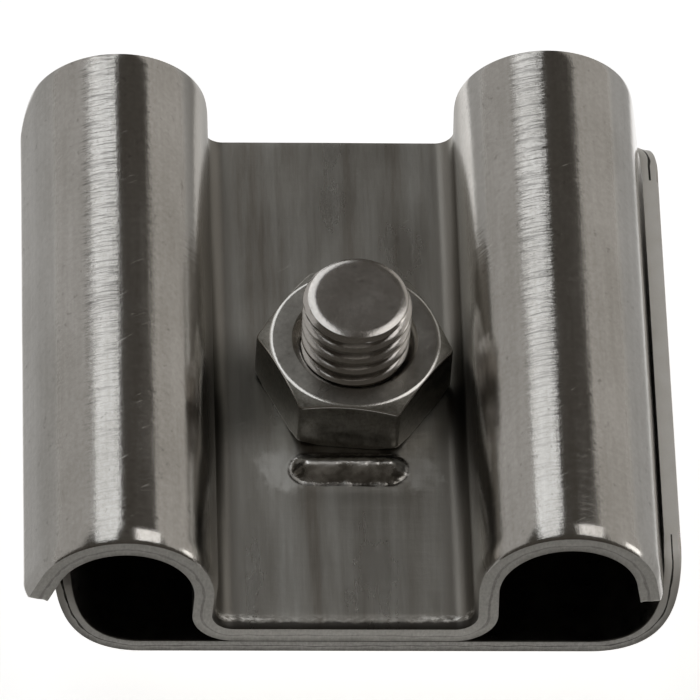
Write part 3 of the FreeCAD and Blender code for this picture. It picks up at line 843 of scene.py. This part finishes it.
def lip_shade_and_highlight(nodes, at, colour, polish):
    """Painted shade along the valley's near edge, over the rolled lip, and above it a thin painted
    highlight line.

    The painted highlight is brightest where the bends start.
    """
    uneven = nodes.product(nodes.noise((1.6, 1.6, 1.6), 4, 0.6), 0.30 * MM)
    gap = nodes.math("ADD", nodes.math("ADD", at.along, HALF_LENGTH), uneven)
    # painted shade along the rolled lip, standing in for its dark reflection
    lip = nodes.product(nodes.range(gap, 0.53 * MM, 0.40 * MM, 0.0, 0.85, True), at.valley)
    colour = nodes.mix(lip, colour, LIP_SHADE)
    half_width = (at.right_bend - at.left_bend) / 2
    from_middle = nodes.distance(at.across, (at.left_bend + at.right_bend) / 2)
    # painted highlight: a thin bright line above the lip
    painted_light_mask = nodes.product(
        nodes.range(from_middle, 0.5 * half_width, 0.95 * half_width, 0.25, 1.0, True),
        nodes.range(gap, 0.45 * MM, 0.55 * MM, 0.0, 1.0),
        nodes.range(gap, 0.85 * MM, 0.60 * MM, 0.0, 1.0),
        at.valley,
        nodes.range(nodes.noise((3.0, 6.0, 3.0), 3, 0.6), 0.44, 0.60, 0.0, 1.0),
    )
    return nodes.mix(painted_light_mask, colour, LIP_HIGHLIGHT_WHITE), nodes.mix(painted_light_mask, polish, 0.5)


def nut_shade_and_matte_patches(nodes, at, colour, polish):
    """Painted shade on both sides of the nut, and matte patches where the punch scuffed the sheet by
    the rib.
    """
    for side in (-1, 1):
        # painted shade: a dark patch in the valley beside the nut on each side
        spot = (side * 5.6 * MM, -0.8 * MM, at.valley_z)
        shade = nodes.range(nodes.away(spot), 4.2 * MM, 1.2 * MM, 0.0, 0.85, True)
        colour = nodes.mix(shade, colour, NUT_SHADE)
    ragged = nodes.product(nodes.noise((1.5, 1.0, 1.5), 5, 0.65), 2.6 * MM)
    streaky = nodes.range(nodes.noise((3.0, 0.6, 3.0), 4, 0.6), 0.3, 0.6, 0.35, 0.75)
    for side in (-1, 1):
        spot = (RIB_CENTRE.x + side * (RIB_REACH + 1.05 * MM), RIB_CENTRE.y - 0.1 * MM, at.valley_z)
        gap = nodes.math("ADD", nodes.away(spot), ragged)
        patch = nodes.product(nodes.range(gap, 2.75 * MM, 1.95 * MM, 0.0, 1.0, True), streaky)
        colour = nodes.mix(patch, colour, MATTE_GREY)
        polish = nodes.mix(patch, polish, 0.5)
    return colour, polish


def rib_marks_and_painted_light(nodes, at, colour, polish, normal):
    """Rib burnished and mottled where the punch pressed hardest, with painted highlight blotches in the
    light mottle and painted shade at its foot.
    """
    beyond = nodes.math("SUBTRACT", nodes.distance(at.across, RIB_CENTRE.x), RIB_REACH)
    beyond = nodes.math("MAXIMUM", beyond, 0.0)
    aside = nodes.math("SUBTRACT", at.along, RIB_CENTRE.y)
    squares = nodes.math("ADD", nodes.product(beyond, beyond), nodes.product(aside, aside))
    from_axis = nodes.math("SQRT", squares, 0.0)
    on_rib = nodes.range(from_axis, 1.12 * RIB_RADIUS, 0.95 * RIB_RADIUS, 0.0, 1.0, True)
    # painted shade: darker towards the rib's foot
    foot = nodes.range(from_axis, 0.8 * RIB_RADIUS, RIB_RADIUS, 0.0, 0.85, True)
    # the mottle's light tone is burnish and partly a painted highlight
    mottle = nodes.range(nodes.noise((1.0, 1.3, 1.0), 3, 0.5), 0.36, 0.62, 0.0, 1.0)
    rib_colour = nodes.mix(foot, nodes.mix(mottle, RIB_DARK, RIB_MOTTLE_AND_HIGHLIGHT), RIB_FOOT_SHADE)
    colour = nodes.mix(on_rib, colour, rib_colour)
    polish = nodes.mix(on_rib, polish, nodes.range(mottle, 0.0, 1.0, 0.20, 0.34))
    dents = nodes.product(nodes.math("SUBTRACT", mottle, 0.5), on_rib)
    return colour, polish, nodes.bump(dents, 0.04 * MM, 1.0, normal)


def wrinkles_and_crease_shade(nodes, at, colour, normal):
    """Fine wrinkles across the sheet, left of each crown and mostly on the far half, with painted shade
    in their creases.
    """
    bands = []
    for groove in (LEFT_GROOVE, RIGHT_GROOVE):
        beside = nodes.distance(at.across, groove.x - 1.05 * MM)
        bands.append(nodes.range(beside, 0.9 * MM, 0.5 * MM, 0.0, 1.0, True))
    far = nodes.range(at.along, -0.8 * HALF_LENGTH, 0.1 * HALF_LENGTH, 0.25, 1.0, True)
    reach = nodes.product(nodes.math("ADD", *bands), far)
    wrinkles = nodes.noise((0.8, 8.5, 0.8), 3, 0.55, 0.5, 4)
    creases = nodes.product(nodes.range(wrinkles, 0.50, 0.66, 0.0, 0.75), reach)
    # painted shade in the wrinkles' creases
    colour = nodes.mix(creases, colour, CREASE_SHADE)
    folds = nodes.product(nodes.math("SUBTRACT", wrinkles, 0.5), reach)
    return colour, nodes.bump(folds, 0.034 * MM, 1.0, normal)


def pressed_marks_and_painted_light(nodes, colour, polish, normal):
    """What pressing left on the cover, a dull valley, wrinkles and worn patches, and painted light:
    shade low on the flanks, beside the nut, along the lip, at the rib's foot and in creases, and
    highlights on the lip and rib.
    """
    at = CoverPlaces(nodes)
    colour = flank_shade_marks(nodes, at, colour)
    colour, polish = valley_marks(nodes, at, colour, polish)
    colour, polish = lip_shade_and_highlight(nodes, at, colour, polish)
    colour, polish = nut_shade_and_matte_patches(nodes, at, colour, polish)
    colour, polish, normal = rib_marks_and_painted_light(nodes, at, colour, polish, normal)
    colour, normal = wrinkles_and_crease_shade(nodes, at, colour, normal)
    return colour, polish, normal


def sheared(name, bright, dark, roughness, depth, high=None):
    """Cut edge of the sheet: matte, with fine tearing.

    high is a colour that the tray's walls reach near their tops: painted light, lighter towards the
    top.
    """
    nodes = Nodes(name)
    tearing = nodes.noise((9.0, 9.0, 4.0), 5, 0.7)
    patches = nodes.noise((1.3, 1.3, 2.6), 4, 0.6, 0.6)
    tone = nodes.range(nodes.math("ADD", tearing, patches), 0.75, 1.25, 0.0, 1.0)
    colour = nodes.mix(tone, dark, bright)
    if high is not None:
        start, end = tray_low.z + 0.8 * MM, tray_high.z - 0.5 * MM
        # painted light: lighter towards the tray's top
        painted_light_mask = nodes.range(nodes.position("Z"), start, end, 0.0, 0.85, True)
        colour = nodes.mix(painted_light_mask, colour, high)
    nodes.link(colour, nodes.shader.inputs["Base Color"])
    matte = nodes.range(patches, 0.3, 0.7, roughness - 0.08, roughness + 0.1)
    nodes.link(matte, nodes.shader.inputs["Roughness"])
    normal = nodes.bump(tearing, depth * MM)
    normal = nodes.bump(patches, depth * 2 * MM, 1.0, normal)
    nodes.link(normal, nodes.shader.inputs["Normal"])
    nodes.shader.inputs["Metallic"].default_value = 1.0
    return nodes.material


# ---------------------------------------------------------------- stage
GLOW_ASIDE = 17.5 * MM
GLOW_ALONG = 21.5 * MM
GLOW_MIDDLE = 6.5 * MM
# how far the glow's soft edge reaches, as a share of the glow's own reach
GLOW_FADE_ASIDE = 1.25
GLOW_FADE_ALONG = 1.2
GLOW = 0.75
FAR_GLOW = 0.13
SHEET_WHITE = (0.93, 0.93, 0.93, 1)
SHEET_FAR = (0.80, 0.80, 0.80, 1)


def floor_finish():
    """White sheet, lit from below around the object like a light table, greyer far out: its colour is
    paler inside the glow too, a painted pool of light.
    """
    nodes = Nodes("floor_paper")
    aside = nodes.math("ABSOLUTE", nodes.position("X"), 0.0)
    along = nodes.distance(nodes.position("Y"), GLOW_MIDDLE)
    near = nodes.product(nodes.range(aside, GLOW_FADE_ASIDE * GLOW_ASIDE, GLOW_ASIDE, 0.0, 1.0, True),
                         nodes.range(along, GLOW_FADE_ALONG * GLOW_ALONG, GLOW_ALONG, 0.0, 1.0, True))
    sheet = nodes.mix(near, SHEET_FAR, SHEET_WHITE)
    nodes.link(sheet, nodes.shader.inputs["Base Color"])
    glow = nodes.math("ADD", nodes.product(near, GLOW - FAR_GLOW), FAR_GLOW)
    nodes.link(glow, nodes.shader.inputs["Emission Strength"])
    nodes.shader.inputs["Roughness"].default_value = 0.85
    nodes.shader.inputs["Specular IOR Level"].default_value = 0.1
    nodes.shader.inputs["Emission Color"].default_value = (1, 1, 1, 1)
    return nodes.material


def soft_box(name, roll, span, tilt, length, distance, strength, colour):
    """Rectangular light that faces the object.

    Its middle lies roll degrees from straight up, turned about the Y axis towards +X, and
    leans tilt degrees back along Y. span and length are its angular width and length.
    """
    lamp = bpy.data.lights.new(name, "AREA")
    lamp.shape = "RECTANGLE"
    lamp.size = 2 * distance * math.tan(math.radians(span / 2))
    lamp.size_y = 2 * distance * math.tan(math.radians(length / 2))
    lamp.energy = strength * lamp.size * lamp.size_y * math.pi
    lamp.color = colour
    item = bpy.data.objects.new(name, lamp)
    bpy.context.scene.collection.objects.link(item)
    a, b = math.radians(roll), math.radians(tilt)
    outward = Vector((math.sin(a) * math.cos(b), math.sin(b), math.cos(a) * math.cos(b)))
    across = Vector((math.cos(a), 0, -math.sin(a)))
    axes = Matrix((across, outward.cross(across), outward)).transposed()
    item.matrix_world = Matrix.Translation(outward * distance) @ axes.to_4x4()
    item.visible_camera = False
    return item


def make_stage():
    """Floor, lights and a dim world."""
    bpy.ops.mesh.primitive_grid_add(x_subdivisions=2, y_subdivisions=2, size=6.0, location=(0, 0, 0))
    floor = bpy.context.object
    floor.name = "floor"
    floor.data.materials.append(floor_finish())
    warm = (1.0, 0.97, 0.93)
    white = (1.0, 0.99, 0.98)
    cool = (0.95, 0.975, 1.0)
    # a bright strip up and to the left of the tubes' crowns, a dark gap, and a soft box on
    # each side; the two small ones are mirrored only by the cover's rolled edges
    soft_box("strip", roll=-22, span=25, tilt=31, length=72, distance=0.45, strength=0.94,
             colour=cool)
    soft_box("left_box", roll=-78, span=66, tilt=30, length=70, distance=0.50, strength=0.36,
             colour=white)
    soft_box("right_box", roll=66, span=48, tilt=30, length=70, distance=0.50, strength=0.37,
             colour=warm)
    soft_box("right_key", roll=80, span=24, tilt=4, length=12, distance=0.60, strength=1.3,
             colour=white)
    soft_box("front_patch", roll=25, span=28, tilt=12, length=32, distance=0.60, strength=1.0,
             colour=white)
    world = bpy.data.worlds.new("studio")
    bpy.context.scene.world = world
    world.use_nodes = True
    back = world.node_tree.nodes["Background"]
    back.inputs["Color"].default_value = (1.0, 0.91, 0.79, 1)
    back.inputs["Strength"].default_value = 0.06


CAMERA_AZIMUTH = -4.78
CAMERA_ELEVATION = 52.5
CAMERA_ROLL = -4.01
CAMERA_DISTANCE = 0.402
CAMERA_FOCAL = 457.3
# the point on the screw's axis that the view is set up around, level with the nut's seat,
# and how far the middle of the picture lies from it
CAMERA_POINT = Vector((0, 0, nut_low.z))
CAMERA_RIGHT = -0.104 * MM
CAMERA_UP = 1.327 * MM


def make_camera():
    """Camera at the photo's angle, rolled a little, with a long lens."""
    a, e, r = (math.radians(value) for value in (CAMERA_AZIMUTH, CAMERA_ELEVATION, CAMERA_ROLL))
    back = Vector((math.sin(a) * math.cos(e), -math.cos(a) * math.cos(e), math.sin(e)))
    level = Vector((math.cos(a), math.sin(a), 0))
    upright = back.cross(level)
    right = level * math.cos(r) - upright * math.sin(r)
    up = level * math.sin(r) + upright * math.cos(r)
    camera = bpy.data.objects.new("camera", bpy.data.cameras.new("camera"))
    bpy.context.scene.collection.objects.link(camera)
    place = CAMERA_POINT + back * CAMERA_DISTANCE + right * CAMERA_RIGHT + up * CAMERA_UP
    camera.matrix_world = Matrix.Translation(place) @ Matrix((right, up, back)).transposed().to_4x4()
    camera.data.sensor_width = 36.0
    camera.data.lens = CAMERA_FOCAL
    camera.data.clip_start = 0.01
    camera.data.clip_end = 20.0
    bpy.context.scene.camera = camera


# ---------------------------------------------------------------- making it
bpy.context.scene.view_settings.view_transform = "Standard"
make_camera()
make_stage()
# features of the grain per millimetre, along X, Y and Z
drawn = (3.5, 0.12, 3.5)
turned = (0.6, 0.6, 6.0)
cover_steel = steel("cover_steel", (0.72, 0.70, 0.67, 1), (0.46, 0.44, 0.405, 1),
                    smooth=0.09, rough=0.15, grain=drawn, grain_depth=0.003, ripple=0.012,
                    marks=pressed_marks_and_painted_light)
tray_steel = steel("tray_steel", (0.68, 0.66, 0.62, 1), (0.54, 0.52, 0.48, 1),
                   smooth=0.16, rough=0.26, grain=drawn, grain_depth=0.004, ripple=0.008)
screw_steel = steel("screw_steel", (0.80, 0.77, 0.74, 1), (0.58, 0.55, 0.51, 1),
                    smooth=0.12, rough=0.22, grain=turned, grain_depth=0.002, ripple=0.004)
nut_steel = steel("nut_steel", (0.60, 0.58, 0.54, 1), (0.28, 0.265, 0.24, 1),
                  smooth=0.18, rough=0.34, grain=turned, grain_depth=0.004, ripple=0.008)
nut_rim = steel("nut_rim", (0.86, 0.84, 0.80, 1), (0.66, 0.64, 0.60, 1),
                smooth=0.12, rough=0.2, grain=turned, grain_depth=0.002, ripple=0.002)
nut_flats = sheared("nut_flats", (0.46, 0.44, 0.40, 1), (0.24, 0.23, 0.20, 1),
                    roughness=0.40, depth=0.002)
cut_edge = sheared("cut_edge", (0.64, 0.625, 0.59, 1), (0.46, 0.447, 0.417, 1),
                   roughness=0.74, depth=0.005)
torn_edge = sheared("torn_edge", (0.54, 0.52, 0.495, 1), (0.36, 0.347, 0.325, 1),
                    roughness=0.8, depth=0.008)
tray_tear = sheared("tray_tear", (0.14, 0.13, 0.12, 1), (0.03, 0.028, 0.024, 1),
                    roughness=0.5, depth=0.010)
# the tray's edges and inside get lighter towards the top: painted light
painted_top_light = (0.95, 0.93, 0.89, 1)
tray_edge = sheared("tray_edge", (0.45, 0.44, 0.41, 1), (0.26, 0.25, 0.235, 1),
                    roughness=0.66, depth=0.005, high=painted_top_light)
# the sheets' inner sides have a mill finish, painted very dark as shade of the hollows
mill_shade_bright = (0.17, 0.16, 0.15, 1)
mill_shade_dark = (0.13, 0.12, 0.11, 1)
mill_finish_in_shade = sheared("mill_finish_in_shade", mill_shade_bright, mill_shade_dark, roughness=0.34, depth=0.002)
tray_inside = sheared("tray_inside", mill_shade_bright, mill_shade_dark, roughness=0.34, depth=0.002,
                      high=painted_top_light)

make_tray([tray_steel, tray_edge, tray_tear, tray_inside, tray_edge])
make_cover([cover_steel, cut_edge, torn_edge, mill_finish_in_shade, cut_edge])
make_screw(screw_steel)
make_nut([nut_steel, nut_flats, nut_rim])
